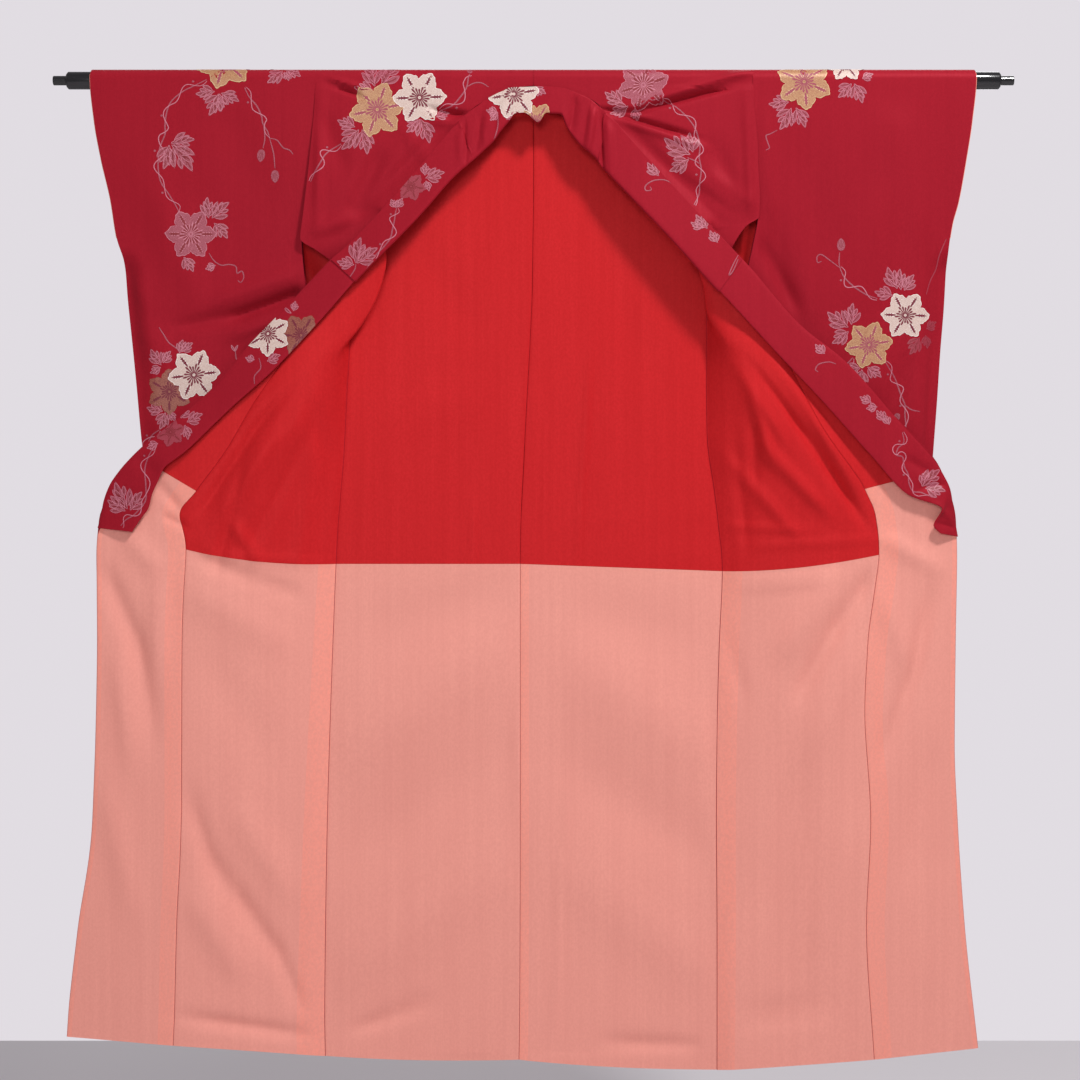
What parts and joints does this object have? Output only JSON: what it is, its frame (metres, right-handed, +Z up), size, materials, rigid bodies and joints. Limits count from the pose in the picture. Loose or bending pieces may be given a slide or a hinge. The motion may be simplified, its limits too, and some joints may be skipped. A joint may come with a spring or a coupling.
{
  "type": "kimono on a rod",
  "caption": "Lined full-length kimono hung flat on a round rod through both sleeves, its fronts drawn open to show the two-colour lining.",
  "frame": {"origin": "on the hanging rod's axis, at the middle of its length", "axes": "+Z up, +X to the viewer's right along the rod, -Y towards the viewer who faces the open fronts"},
  "size_m": [1.44, 0.0599, 1.5032],
  "materials": {
    "silk": "satin-woven crimson silk with a soft sheen and woven clematis sprays",
    "red_lining": "thin plain-woven red silk",
    "salmon_lining": "thin plain-woven salmon silk",
    "lacquer": "black gloss lacquer"
  },
  "bodies": {
    "root": {"rod": "lacquer", "body_left": "silk", "body_right": "silk", "overlap_left": "silk", "overlap_right": "silk", "sleeve_left": "silk", "sleeve_right": "silk", "collar": "silk", "over_collar": "silk", "lining_back_left": "red_lining", "lining_back_right": "red_lining", "lining_front_left": "red_lining", "lining_front_right": "red_lining", "lining_overlap_left": "red_lining", "lining_overlap_right": "red_lining", "hem_lining_back_left": "salmon_lining", "hem_lining_back_right": "salmon_lining", "hem_lining_front_left": "salmon_lining", "hem_lining_front_right": "salmon_lining", "hem_lining_overlap_left": "salmon_lining", "hem_lining_overlap_right": "salmon_lining", "cuff_lining_left": "salmon_lining", "cuff_lining_right": "salmon_lining"}
  },
  "joints": []
}
